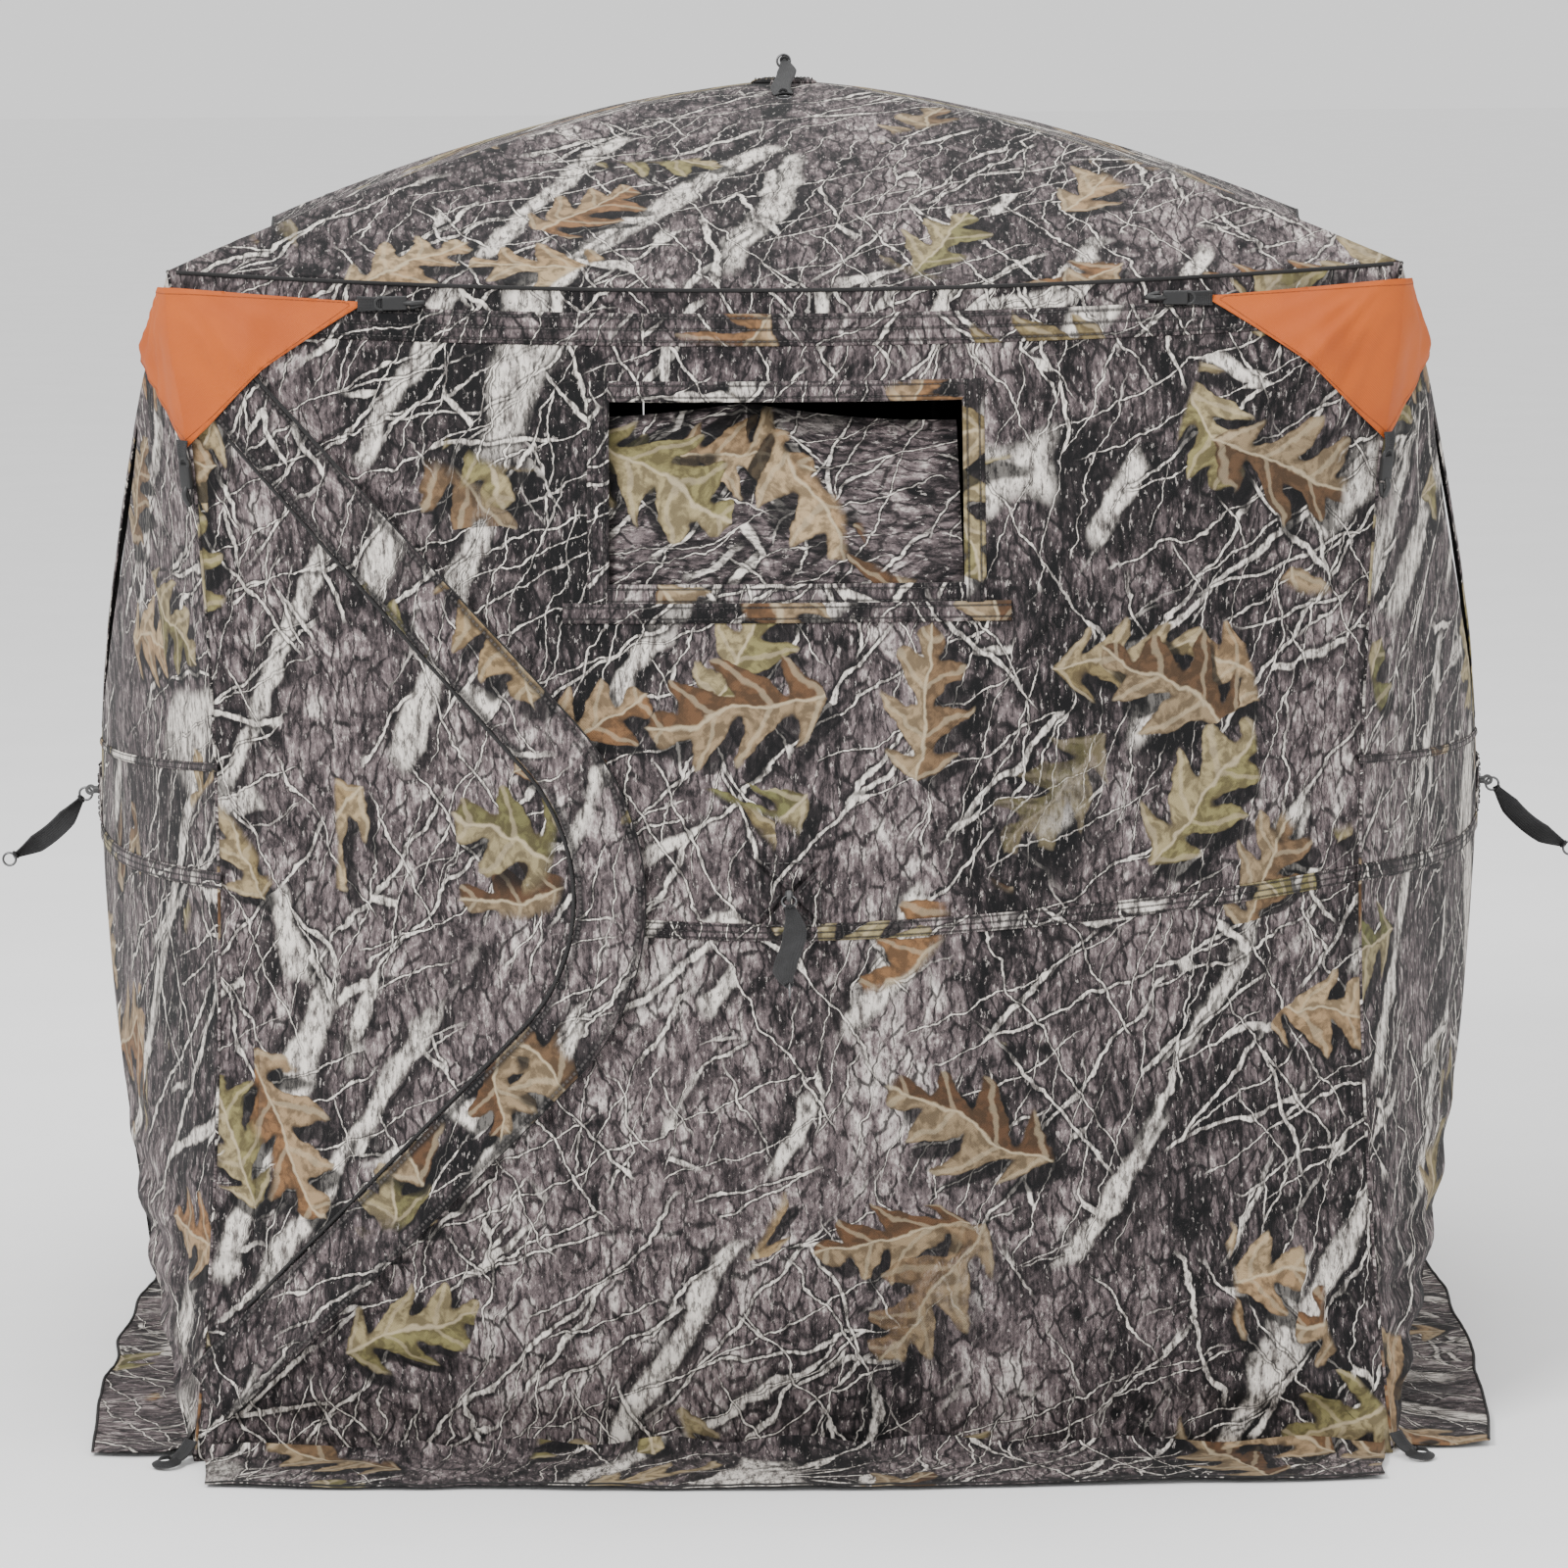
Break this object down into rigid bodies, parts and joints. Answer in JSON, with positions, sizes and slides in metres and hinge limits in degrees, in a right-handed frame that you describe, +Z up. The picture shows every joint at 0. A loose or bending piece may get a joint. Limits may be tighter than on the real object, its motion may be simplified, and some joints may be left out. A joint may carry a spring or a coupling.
{
  "type": "pop up ground blind",
  "caption": "Square hub-style pop up hunting blind with bulging printed fabric walls, a pitched roof, a curved zip door, covered windows, orange corner flags and a ground skirt.",
  "frame": {"origin": "centre of the square footprint, on the ground", "axes": "+Z up, -Y out of the wall with the door and the front window, +X to the right of someone facing that wall from outside"},
  "size_m": [2.1024, 2.1024, 1.6845],
  "materials": {
    "camo_fabric": null,
    "window_fabric": "the same printed cloth, black inside",
    "orange_fabric": "bright orange plain weave, slight sheen",
    "black_webbing": "black nylon webbing",
    "rod_fibreglass": "black pultruded fibreglass",
    "hub_plastic": "black moulded nylon with steel pins",
    "hook_plastic": "black moulded plastic",
    "pocket_plastic": "black moulded plastic"
  },
  "bodies": {
    "root": {"corner_flags": "orange_fabric", "flag_hooks": "hook_plastic", "corner_pockets": "pocket_plastic", "stake_loops": "black_webbing", "ground_skirt": "camo_fabric"},
    "front_hub": {"front_hub": "hub_plastic"},
    "front_gore_right": {"front_gore_right": "camo_fabric"},
    "front_gore_top": {"front_gore_top": "camo_fabric"},
    "front_gore_left": {"front_gore_left": "camo_fabric"},
    "front_gore_bottom": {"front_gore_bottom": "camo_fabric"},
    "front_rod_top_right": {"front_rod_top_right": "rod_fibreglass"},
    "front_rod_top_left": {"front_rod_top_left": "rod_fibreglass"},
    "front_rod_bottom_left": {"front_rod_bottom_left": "rod_fibreglass"},
    "front_rod_bottom_right": {"front_rod_bottom_right": "rod_fibreglass"},
    "front_pull_strap": {"front_pull_strap": "black_webbing"},
    "front_window_cover": {"front_window_cover": "window_fabric"},
    "right_hub": {"right_hub": "hub_plastic"},
    "right_gore_back": {"right_gore_back": "camo_fabric"},
    "right_gore_top": {"right_gore_top": "camo_fabric"},
    "right_gore_front": {"right_gore_front": "camo_fabric"},
    "right_gore_bottom": {"right_gore_bottom": "camo_fabric"},
    "right_rod_top_back": {"right_rod_top_back": "rod_fibreglass"},
    "right_rod_top_front": {"right_rod_top_front": "rod_fibreglass"},
    "right_rod_bottom_front": {"right_rod_bottom_front": "rod_fibreglass"},
    "right_rod_bottom_back": {"right_rod_bottom_back": "rod_fibreglass"},
    "right_pull_strap": {"right_pull_strap": "black_webbing"},
    "right_window_cover": {"right_window_cover": "window_fabric"},
    "back_hub": {"back_hub": "hub_plastic"},
    "back_gore_left": {"back_gore_left": "camo_fabric"},
    "back_gore_top": {"back_gore_top": "camo_fabric"},
    "back_gore_right": {"back_gore_right": "camo_fabric"},
    "back_gore_bottom": {"back_gore_bottom": "camo_fabric"},
    "back_rod_top_left": {"back_rod_top_left": "rod_fibreglass"},
    "back_rod_top_right": {"back_rod_top_right": "rod_fibreglass"},
    "back_rod_bottom_right": {"back_rod_bottom_right": "rod_fibreglass"},
    "back_rod_bottom_left": {"back_rod_bottom_left": "rod_fibreglass"},
    "back_pull_strap": {"back_pull_strap": "black_webbing"},
    "back_window_cover": {"back_window_cover": "window_fabric"},
    "left_hub": {"left_hub": "hub_plastic"},
    "left_gore_front": {"left_gore_front": "camo_fabric"},
    "left_gore_top": {"left_gore_top": "camo_fabric"},
    "left_gore_back": {"left_gore_back": "camo_fabric"},
    "left_gore_bottom": {"left_gore_bottom": "camo_fabric"},
    "left_rod_top_front": {"left_rod_top_front": "rod_fibreglass"},
    "left_rod_top_back": {"left_rod_top_back": "rod_fibreglass"},
    "left_rod_bottom_back": {"left_rod_bottom_back": "rod_fibreglass"},
    "left_rod_bottom_front": {"left_rod_bottom_front": "rod_fibreglass"},
    "left_pull_strap": {"left_pull_strap": "black_webbing"},
    "left_window_cover": {"left_window_cover": "window_fabric"},
    "roof_hub": {"roof_hub": "hub_plastic"},
    "roof_gore_right": {"roof_gore_right": "camo_fabric"},
    "roof_gore_back": {"roof_gore_back": "camo_fabric"},
    "roof_gore_left": {"roof_gore_left": "camo_fabric"},
    "roof_gore_front": {"roof_gore_front": "camo_fabric"},
    "roof_rod_back_right": {"roof_rod_back_right": "rod_fibreglass"},
    "roof_rod_back_left": {"roof_rod_back_left": "rod_fibreglass"},
    "roof_rod_front_left": {"roof_rod_front_left": "rod_fibreglass"},
    "roof_rod_front_right": {"roof_rod_front_right": "rod_fibreglass"},
    "roof_pull_strap": {"roof_pull_strap": "black_webbing"},
    "door_leaf": {"door_leaf": "camo_fabric"}
  },
  "joints": [
    {"name": "front_hub_push", "type": "slide", "parent": "root", "child": "front_hub", "axis": [0, 1, 0], "range_m": [0, 0.354]},
    {"name": "front_gore_right_fold", "type": "hinge", "parent": "root", "child": "front_gore_right", "pos_m": [0.735, -0.735, 0.7285], "axis": [0, 0, -1], "range_deg": [0, 27.1]},
    {"name": "front_gore_top_fold", "type": "hinge", "parent": "root", "child": "front_gore_top", "pos_m": [0, -0.735, 1.457], "axis": [1, 0, 0], "range_deg": [0, 27.33]},
    {"name": "front_gore_left_fold", "type": "hinge", "parent": "root", "child": "front_gore_left", "pos_m": [-0.735, -0.735, 0.7285], "axis": [0, 0, 1], "range_deg": [0, 27.1]},
    {"name": "front_gore_bottom_fold", "type": "hinge", "parent": "root", "child": "front_gore_bottom", "pos_m": [0, -0.735, 0], "axis": [-1, 0, 0], "range_deg": [0, 27.33]},
    {"name": "front_rod_top_right_swing", "type": "hinge", "parent": "front_hub", "child": "front_rod_top_right", "pos_m": [0.02131, -0.894, 0.74962], "axis": [0.704, 0, -0.7102], "range_deg": [0, 19.43]},
    {"name": "front_rod_top_left_swing", "type": "hinge", "parent": "front_hub", "child": "front_rod_top_left", "pos_m": [-0.02131, -0.894, 0.74962], "axis": [0.704, 0, 0.7102], "range_deg": [0, 19.43]},
    {"name": "front_rod_bottom_left_swing", "type": "hinge", "parent": "front_hub", "child": "front_rod_bottom_left", "pos_m": [-0.02131, -0.894, 0.70738], "axis": [-0.704, 0, 0.7102], "range_deg": [0, 19.43]},
    {"name": "front_rod_bottom_right_swing", "type": "hinge", "parent": "front_hub", "child": "front_rod_bottom_right", "pos_m": [0.02131, -0.894, 0.70738], "axis": [-0.704, 0, -0.7102], "range_deg": [0, 19.43]},
    {"name": "front_pull_strap_swing", "type": "hinge", "parent": "front_hub", "child": "front_pull_strap", "pos_m": [0, -0.931, 0.7285], "axis": [-1, 0, 0], "range_deg": [-50, 100]},
    {"name": "right_hub_push", "type": "slide", "parent": "root", "child": "right_hub", "axis": [-1, 0, 0], "range_m": [0, 0.354]},
    {"name": "right_gore_back_fold", "type": "hinge", "parent": "root", "child": "right_gore_back", "pos_m": [0.735, 0.735, 0.7285], "axis": [0, 0, -1], "range_deg": [0, 27.1]},
    {"name": "right_gore_top_fold", "type": "hinge", "parent": "root", "child": "right_gore_top", "pos_m": [0.735, 0, 1.457], "axis": [0, 1, 0], "range_deg": [0, 27.33]},
    {"name": "right_gore_front_fold", "type": "hinge", "parent": "root", "child": "right_gore_front", "pos_m": [0.735, -0.735, 0.7285], "axis": [0, 0, 1], "range_deg": [0, 27.1]},
    {"name": "right_gore_bottom_fold", "type": "hinge", "parent": "root", "child": "right_gore_bottom", "pos_m": [0.735, 0, 0], "axis": [0, -1, 0], "range_deg": [0, 27.33]},
    {"name": "right_rod_top_back_swing", "type": "hinge", "parent": "right_hub", "child": "right_rod_top_back", "pos_m": [0.894, 0.02131, 0.74962], "axis": [0, 0.704, -0.7102], "range_deg": [0, 19.43]},
    {"name": "right_rod_top_front_swing", "type": "hinge", "parent": "right_hub", "child": "right_rod_top_front", "pos_m": [0.894, -0.02131, 0.74962], "axis": [0, 0.704, 0.7102], "range_deg": [0, 19.43]},
    {"name": "right_rod_bottom_front_swing", "type": "hinge", "parent": "right_hub", "child": "right_rod_bottom_front", "pos_m": [0.894, -0.02131, 0.70738], "axis": [0, -0.704, 0.7102], "range_deg": [0, 19.43]},
    {"name": "right_rod_bottom_back_swing", "type": "hinge", "parent": "right_hub", "child": "right_rod_bottom_back", "pos_m": [0.894, 0.02131, 0.70738], "axis": [0, -0.704, -0.7102], "range_deg": [0, 19.43]},
    {"name": "right_pull_strap_swing", "type": "hinge", "parent": "right_hub", "child": "right_pull_strap", "pos_m": [0.931, 0, 0.7285], "axis": [0, -1, 0], "range_deg": [-50, 100]},
    {"name": "back_hub_push", "type": "slide", "parent": "root", "child": "back_hub", "axis": [0, -1, 0], "range_m": [0, 0.354]},
    {"name": "back_gore_left_fold", "type": "hinge", "parent": "root", "child": "back_gore_left", "pos_m": [-0.735, 0.735, 0.7285], "axis": [0, 0, -1], "range_deg": [0, 27.1]},
    {"name": "back_gore_top_fold", "type": "hinge", "parent": "root", "child": "back_gore_top", "pos_m": [0, 0.735, 1.457], "axis": [-1, 0, 0], "range_deg": [0, 27.33]},
    {"name": "back_gore_right_fold", "type": "hinge", "parent": "root", "child": "back_gore_right", "pos_m": [0.735, 0.735, 0.7285], "axis": [0, 0, 1], "range_deg": [0, 27.1]},
    {"name": "back_gore_bottom_fold", "type": "hinge", "parent": "root", "child": "back_gore_bottom", "pos_m": [0, 0.735, 0], "axis": [1, 0, 0], "range_deg": [0, 27.33]},
    {"name": "back_rod_top_left_swing", "type": "hinge", "parent": "back_hub", "child": "back_rod_top_left", "pos_m": [-0.02131, 0.894, 0.74962], "axis": [-0.704, 0, -0.7102], "range_deg": [0, 19.43]},
    {"name": "back_rod_top_right_swing", "type": "hinge", "parent": "back_hub", "child": "back_rod_top_right", "pos_m": [0.02131, 0.894, 0.74962], "axis": [-0.704, 0, 0.7102], "range_deg": [0, 19.43]},
    {"name": "back_rod_bottom_right_swing", "type": "hinge", "parent": "back_hub", "child": "back_rod_bottom_right", "pos_m": [0.02131, 0.894, 0.70738], "axis": [0.704, 0, 0.7102], "range_deg": [0, 19.43]},
    {"name": "back_rod_bottom_left_swing", "type": "hinge", "parent": "back_hub", "child": "back_rod_bottom_left", "pos_m": [-0.02131, 0.894, 0.70738], "axis": [0.704, 0, -0.7102], "range_deg": [0, 19.43]},
    {"name": "back_pull_strap_swing", "type": "hinge", "parent": "back_hub", "child": "back_pull_strap", "pos_m": [0, 0.931, 0.7285], "axis": [1, 0, 0], "range_deg": [-50, 100]},
    {"name": "left_hub_push", "type": "slide", "parent": "root", "child": "left_hub", "axis": [1, 0, 0], "range_m": [0, 0.354]},
    {"name": "left_gore_front_fold", "type": "hinge", "parent": "root", "child": "left_gore_front", "pos_m": [-0.735, -0.735, 0.7285], "axis": [0, 0, -1], "range_deg": [0, 27.1]},
    {"name": "left_gore_top_fold", "type": "hinge", "parent": "root", "child": "left_gore_top", "pos_m": [-0.735, 0, 1.457], "axis": [0, -1, 0], "range_deg": [0, 27.33]},
    {"name": "left_gore_back_fold", "type": "hinge", "parent": "root", "child": "left_gore_back", "pos_m": [-0.735, 0.735, 0.7285], "axis": [0, 0, 1], "range_deg": [0, 27.1]},
    {"name": "left_gore_bottom_fold", "type": "hinge", "parent": "root", "child": "left_gore_bottom", "pos_m": [-0.735, 0, 0], "axis": [0, 1, 0], "range_deg": [0, 27.33]},
    {"name": "left_rod_top_front_swing", "type": "hinge", "parent": "left_hub", "child": "left_rod_top_front", "pos_m": [-0.894, -0.02131, 0.74962], "axis": [0, -0.704, -0.7102], "range_deg": [0, 19.43]},
    {"name": "left_rod_top_back_swing", "type": "hinge", "parent": "left_hub", "child": "left_rod_top_back", "pos_m": [-0.894, 0.02131, 0.74962], "axis": [0, -0.704, 0.7102], "range_deg": [0, 19.43]},
    {"name": "left_rod_bottom_back_swing", "type": "hinge", "parent": "left_hub", "child": "left_rod_bottom_back", "pos_m": [-0.894, 0.02131, 0.70738], "axis": [0, 0.704, 0.7102], "range_deg": [0, 19.43]},
    {"name": "left_rod_bottom_front_swing", "type": "hinge", "parent": "left_hub", "child": "left_rod_bottom_front", "pos_m": [-0.894, -0.02131, 0.70738], "axis": [0, 0.704, -0.7102], "range_deg": [0, 19.43]},
    {"name": "left_pull_strap_swing", "type": "hinge", "parent": "left_hub", "child": "left_pull_strap", "pos_m": [-0.931, 0, 0.7285], "axis": [0, 1, 0], "range_deg": [-50, 100]},
    {"name": "roof_hub_push", "type": "slide", "parent": "root", "child": "roof_hub", "axis": [0, 0, -1], "range_m": [0, 0.403], "deforming": ["roof_pull_strap"]},
    {"name": "roof_gore_right_fold", "type": "hinge", "parent": "root", "child": "roof_gore_right", "pos_m": [0.735, 0, 1.457], "axis": [0, -1, 0], "range_deg": [0, 30.68]},
    {"name": "roof_gore_back_fold", "type": "hinge", "parent": "root", "child": "roof_gore_back", "pos_m": [0, 0.735, 1.457], "axis": [1, 0, 0], "range_deg": [0, 30.68]},
    {"name": "roof_gore_left_fold", "type": "hinge", "parent": "root", "child": "roof_gore_left", "pos_m": [-0.735, 0, 1.457], "axis": [0, 1, 0], "range_deg": [0, 30.68]},
    {"name": "roof_gore_front_fold", "type": "hinge", "parent": "root", "child": "roof_gore_front", "pos_m": [0, -0.735, 1.457], "axis": [-1, 0, 0], "range_deg": [0, 30.68]},
    {"name": "roof_rod_back_right_swing", "type": "hinge", "parent": "roof_hub", "child": "roof_rod_back_right", "pos_m": [0.02121, 0.02121, 1.6405], "axis": [0.7071, -0.7071, 0], "range_deg": [0, 21.96]},
    {"name": "roof_rod_back_left_swing", "type": "hinge", "parent": "roof_hub", "child": "roof_rod_back_left", "pos_m": [-0.02121, 0.02121, 1.6405], "axis": [0.7071, 0.7071, 0], "range_deg": [0, 21.96]},
    {"name": "roof_rod_front_left_swing", "type": "hinge", "parent": "roof_hub", "child": "roof_rod_front_left", "pos_m": [-0.02121, -0.02121, 1.6405], "axis": [-0.7071, 0.7071, 0], "range_deg": [0, 21.96]},
    {"name": "roof_rod_front_right_swing", "type": "hinge", "parent": "roof_hub", "child": "roof_rod_front_right", "pos_m": [0.02121, -0.02121, 1.6405], "axis": [-0.7071, -0.7071, 0], "range_deg": [0, 21.96]},
    {"name": "roof_pull_strap_swing", "type": "hinge", "parent": "roof_hub", "child": "roof_pull_strap", "pos_m": [0, 0, 1.6775], "axis": [-1, 0, 0], "range_deg": [0, 150]},
    {"name": "front_window_cover_open", "type": "hinge", "parent": "front_gore_top", "child": "front_window_cover", "pos_m": [0, -0.83439, 1.07384], "axis": [-1, 0, 0], "range_deg": [0, 95]},
    {"name": "back_window_cover_open", "type": "hinge", "parent": "back_gore_top", "child": "back_window_cover", "pos_m": [0, 0.83439, 1.07384], "axis": [1, 0, 0], "range_deg": [0, 95]},
    {"name": "left_window_cover_open", "type": "hinge", "parent": "left_gore_top", "child": "left_window_cover", "pos_m": [-0.88927, 0, 0.83724], "axis": [0, 1, 0], "range_deg": [0, 95]},
    {"name": "right_window_cover_open", "type": "hinge", "parent": "right_gore_top", "child": "right_window_cover", "pos_m": [0.88927, 0, 0.83724], "axis": [0, -1, 0], "range_deg": [0, 95]},
    {"name": "door_swing", "type": "hinge", "parent": "front_gore_left", "child": "door_leaf", "pos_m": [-0.735, -0.735, 0.7285], "axis": [0, 0, -1], "range_deg": [0, 100]}
  ],
  "couplings": [
    {"joint": "front_gore_right_fold", "follows": "front_hub_push", "rad_per_m": 1.3351},
    {"joint": "front_gore_top_fold", "follows": "front_hub_push", "rad_per_m": 1.3466},
    {"joint": "front_gore_left_fold", "follows": "front_hub_push", "rad_per_m": 1.3351},
    {"joint": "front_gore_bottom_fold", "follows": "front_hub_push", "rad_per_m": 1.3466},
    {"joint": "front_rod_top_right_swing", "follows": "front_hub_push", "rad_per_m": 0.95705},
    {"joint": "front_rod_top_left_swing", "follows": "front_hub_push", "rad_per_m": 0.95705},
    {"joint": "front_rod_bottom_left_swing", "follows": "front_hub_push", "rad_per_m": 0.95705},
    {"joint": "front_rod_bottom_right_swing", "follows": "front_hub_push", "rad_per_m": 0.95705},
    {"joint": "right_gore_back_fold", "follows": "right_hub_push", "rad_per_m": 1.3351},
    {"joint": "right_gore_top_fold", "follows": "right_hub_push", "rad_per_m": 1.3466},
    {"joint": "right_gore_front_fold", "follows": "right_hub_push", "rad_per_m": 1.3351},
    {"joint": "right_gore_bottom_fold", "follows": "right_hub_push", "rad_per_m": 1.3466},
    {"joint": "right_rod_top_back_swing", "follows": "right_hub_push", "rad_per_m": 0.95705},
    {"joint": "right_rod_top_front_swing", "follows": "right_hub_push", "rad_per_m": 0.95705},
    {"joint": "right_rod_bottom_front_swing", "follows": "right_hub_push", "rad_per_m": 0.95705},
    {"joint": "right_rod_bottom_back_swing", "follows": "right_hub_push", "rad_per_m": 0.95705},
    {"joint": "back_gore_left_fold", "follows": "back_hub_push", "rad_per_m": 1.3351},
    {"joint": "back_gore_top_fold", "follows": "back_hub_push", "rad_per_m": 1.3466},
    {"joint": "back_gore_right_fold", "follows": "back_hub_push", "rad_per_m": 1.3351},
    {"joint": "back_gore_bottom_fold", "follows": "back_hub_push", "rad_per_m": 1.3466},
    {"joint": "back_rod_top_left_swing", "follows": "back_hub_push", "rad_per_m": 0.95705},
    {"joint": "back_rod_top_right_swing", "follows": "back_hub_push", "rad_per_m": 0.95705},
    {"joint": "back_rod_bottom_right_swing", "follows": "back_hub_push", "rad_per_m": 0.95705},
    {"joint": "back_rod_bottom_left_swing", "follows": "back_hub_push", "rad_per_m": 0.95705},
    {"joint": "left_gore_front_fold", "follows": "left_hub_push", "rad_per_m": 1.3351},
    {"joint": "left_gore_top_fold", "follows": "left_hub_push", "rad_per_m": 1.3466},
    {"joint": "left_gore_back_fold", "follows": "left_hub_push", "rad_per_m": 1.3351},
    {"joint": "left_gore_bottom_fold", "follows": "left_hub_push", "rad_per_m": 1.3466},
    {"joint": "left_rod_top_front_swing", "follows": "left_hub_push", "rad_per_m": 0.95705},
    {"joint": "left_rod_top_back_swing", "follows": "left_hub_push", "rad_per_m": 0.95705},
    {"joint": "left_rod_bottom_back_swing", "follows": "left_hub_push", "rad_per_m": 0.95705},
    {"joint": "left_rod_bottom_front_swing", "follows": "left_hub_push", "rad_per_m": 0.95705},
    {"joint": "roof_gore_right_fold", "follows": "roof_hub_push", "rad_per_m": 1.3279},
    {"joint": "roof_gore_back_fold", "follows": "roof_hub_push", "rad_per_m": 1.3279},
    {"joint": "roof_gore_left_fold", "follows": "roof_hub_push", "rad_per_m": 1.3279},
    {"joint": "roof_gore_front_fold", "follows": "roof_hub_push", "rad_per_m": 1.3279},
    {"joint": "roof_rod_back_right_swing", "follows": "roof_hub_push", "rad_per_m": 0.95026},
    {"joint": "roof_rod_back_left_swing", "follows": "roof_hub_push", "rad_per_m": 0.95026},
    {"joint": "roof_rod_front_left_swing", "follows": "roof_hub_push", "rad_per_m": 0.95026},
    {"joint": "roof_rod_front_right_swing", "follows": "roof_hub_push", "rad_per_m": 0.95026}
  ]
}
